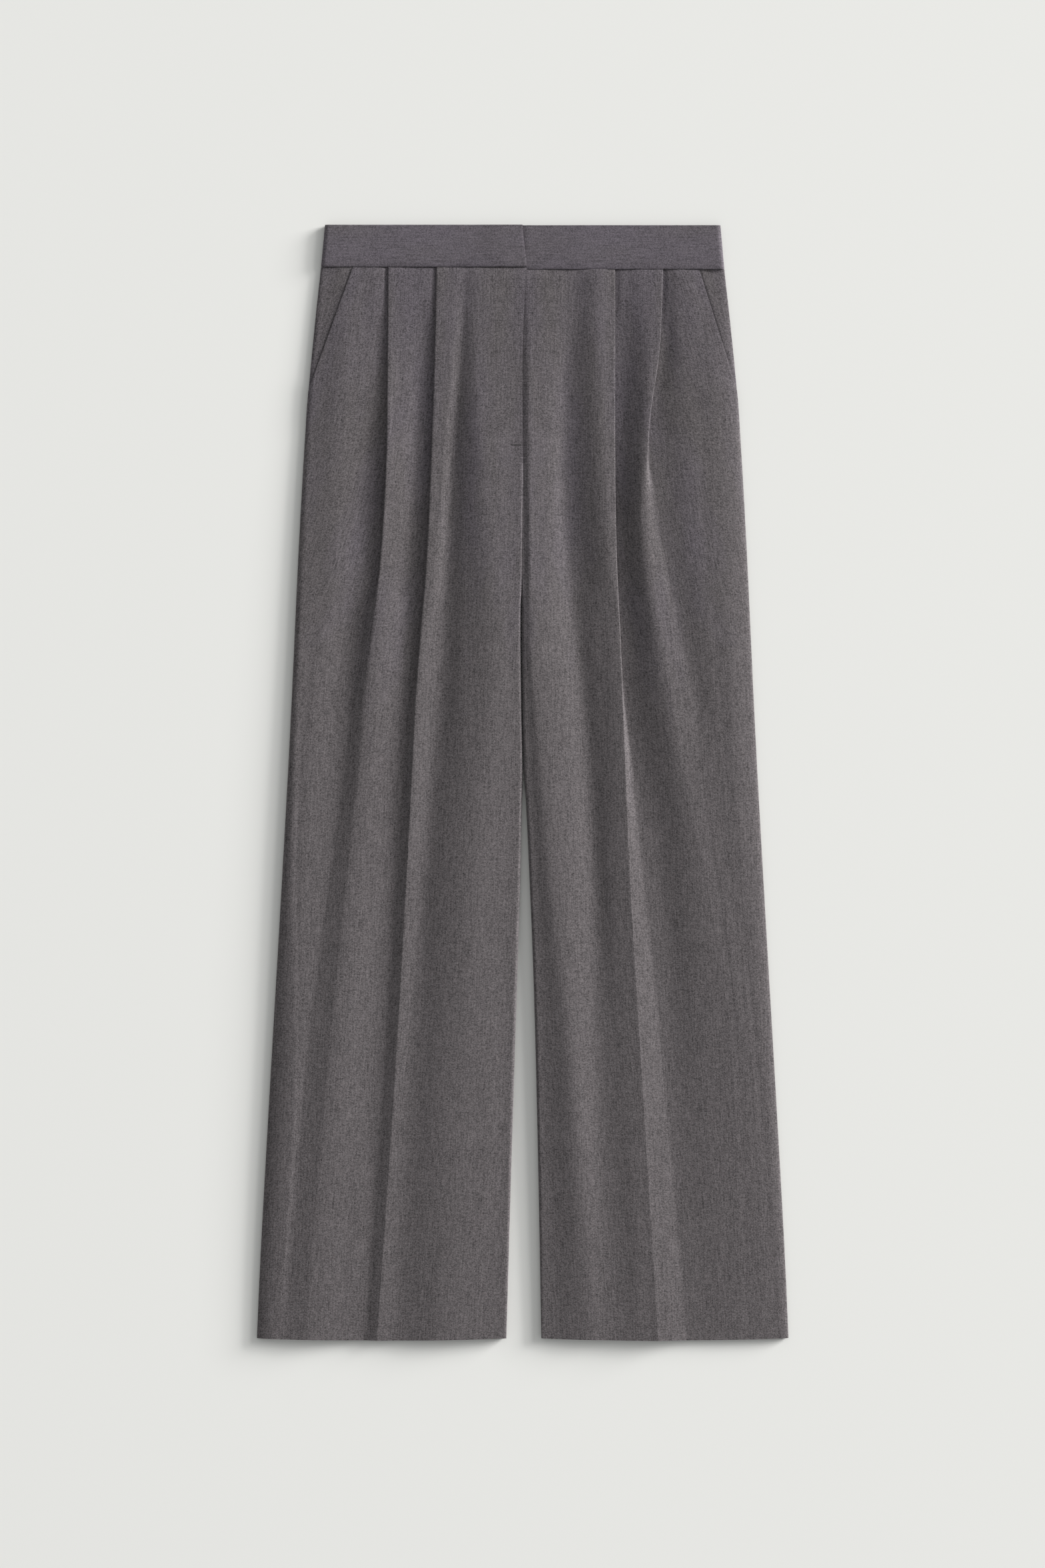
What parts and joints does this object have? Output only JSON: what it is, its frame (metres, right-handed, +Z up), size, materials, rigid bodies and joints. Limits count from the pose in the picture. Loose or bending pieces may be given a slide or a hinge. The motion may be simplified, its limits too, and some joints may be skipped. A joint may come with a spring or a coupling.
{
  "type": "pleated dress trousers",
  "caption": "Wide-leg dress trousers in dark grey cloth, laid flat, with pleats, pressed creases, slanted pockets, a plain waistband and a closed fly.",
  "frame": {"origin": "on the surface the trousers lie on, below the middle of their outline", "axes": "+X towards the wearer's left side, +Y from the hems up to the waist, +Z up from the surface, out of the front of the trousers"},
  "size_m": [0.5118, 1.0711, 0.0112],
  "materials": {
    "trouser_cloth": "matt fine-grained suiting with a faint slub",
    "waistband_cloth": "the same suiting with its grain across, pressed flat",
    "zip_tape": "woven tape with a nylon coil",
    "hook_metal": "plated"
  },
  "bodies": {
    "root": {"front_right": "trouser_cloth", "front_left": "trouser_cloth", "back_right": "trouser_cloth", "back_left": "trouser_cloth", "pocket_side_right": "trouser_cloth", "pocket_side_left": "trouser_cloth", "waistband_right": "waistband_cloth", "waistband_left": "waistband_cloth", "fly_zip": "zip_tape", "waist_hook": "hook_metal", "waist_bar": "hook_metal"}
  },
  "joints": []
}
